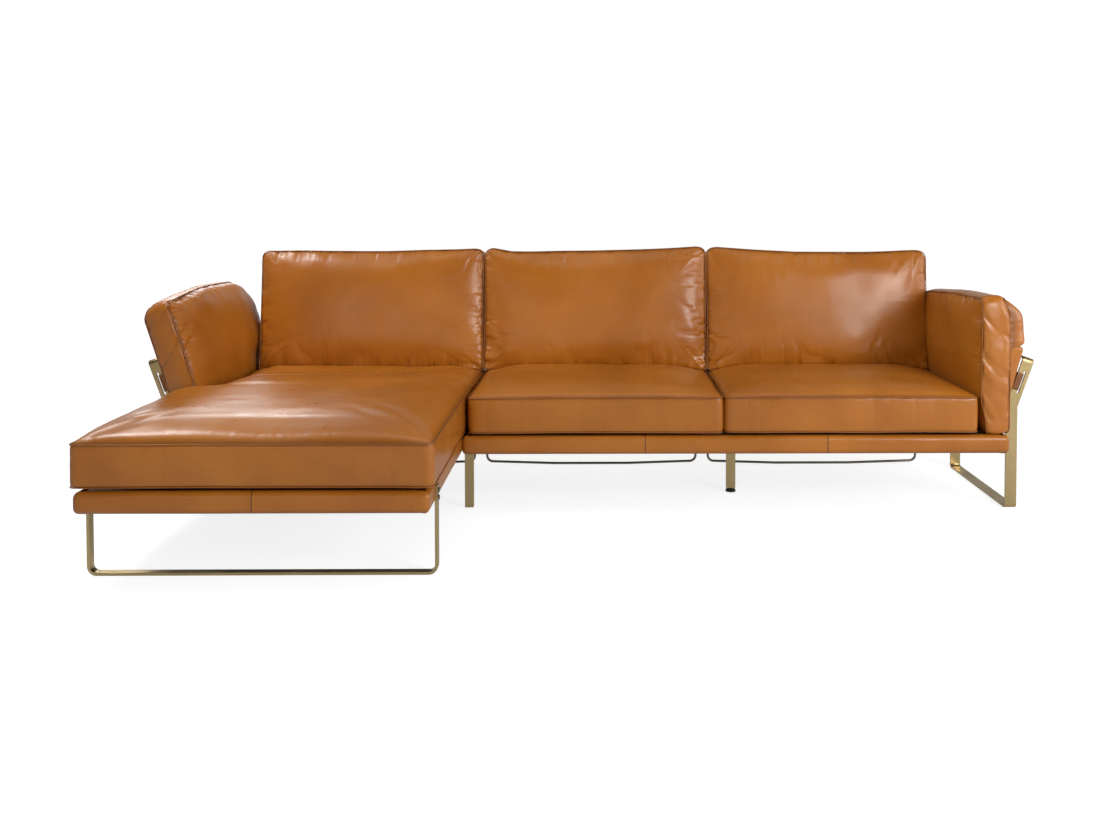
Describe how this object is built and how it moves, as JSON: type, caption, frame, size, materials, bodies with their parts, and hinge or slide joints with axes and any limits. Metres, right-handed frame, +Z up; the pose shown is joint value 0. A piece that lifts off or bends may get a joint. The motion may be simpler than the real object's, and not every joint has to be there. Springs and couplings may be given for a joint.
{
  "type": "chaise longue sofa",
  "caption": "Leather sofa with a chaise longue at its left end, slim upholstered base on brass flat-bar frames, rod back loops and reclining arms.",
  "frame": {"origin": "centre of the middle leg's foot, on the floor, where the chaise and the sofa bases meet", "axes": "+X to the right as one faces the sofa, along its length; +Y to the back; +Z up"},
  "size_m": [3.1961, 1.4778, 0.9228],
  "materials": {
    "leather": "semi-gloss cognac hide",
    "sling_leather": "saddle leather",
    "brass": "satin antique brass",
    "dark_steel": "gunmetal lacquer",
    "zinc_steel": "zinc plated",
    "board": "raw plywood",
    "webbing": "elastic webbing",
    "felt": "needled felt",
    "dust_cloth": "spun-bonded cloth",
    "glide": "black nylon"
  },
  "bodies": {
    "root": {"chaise_seat_cushion": "leather", "middle_seat_cushion": "leather", "right_seat_cushion": "leather", "chaise_back_cushion": "leather", "middle_back_cushion": "leather", "right_back_cushion": "leather", "chaise_front_cover": "leather", "chaise_left_cover": "leather", "chaise_right_cover": "leather", "chaise_rear_cover": "leather", "sofa_front_cover": "leather", "sofa_left_cover": "leather", "sofa_right_cover": "leather", "sofa_rear_cover": "leather", "chaise_back_sling": "sling_leather", "middle_back_sling": "sling_leather", "right_back_sling": "sling_leather", "left_bar_straps": "sling_leather", "right_bar_straps": "sling_leather", "left_side_frame": "brass", "right_side_frame": "brass", "chaise_hoop": "brass", "middle_leg": "brass", "centre_leg": "brass", "left_side_plate": "dark_steel", "right_side_plate": "dark_steel", "middle_leg_flange": "dark_steel", "centre_leg_bracket": "dark_steel", "chaise_back_loop": "dark_steel", "middle_back_loop": "dark_steel", "right_back_loop": "dark_steel", "loop_clips": "dark_steel", "hoop_bolts": "dark_steel", "left_hinge_brackets": "dark_steel", "right_hinge_brackets": "dark_steel", "left_side_bolts": "zinc_steel", "right_side_bolts": "zinc_steel", "module_bolts": "zinc_steel", "left_hinge_pins": "zinc_steel", "right_hinge_pins": "zinc_steel", "chaise_frame": "board", "sofa_frame": "board", "chaise_webbing": "webbing", "sofa_webbing": "webbing", "chaise_deck_felt": "felt", "sofa_deck_felt": "felt", "chaise_dust_cover": "dust_cloth", "sofa_dust_cover": "dust_cloth", "centre_leg_glide": "glide"},
    "left_arm": {"left_arm_pad": "leather", "left_arm_board": "board", "left_hinge_legs": "zinc_steel", "left_hinge_screws": "zinc_steel"},
    "right_arm": {"right_arm_pad": "leather", "right_arm_board": "board", "right_hinge_legs": "zinc_steel", "right_hinge_screws": "zinc_steel"}
  },
  "joints": [
    {"name": "left_arm_tilt", "type": "hinge", "parent": "root", "child": "left_arm", "pos_m": [-0.987, 0.261, 0.38], "axis": [0, 1, 0], "range_deg": [0, 18]},
    {"name": "right_arm_tilt", "type": "hinge", "parent": "root", "child": "right_arm", "pos_m": [1.875, 0.261, 0.38], "axis": [0, 1, 0], "range_deg": [0, 18]}
  ]
}
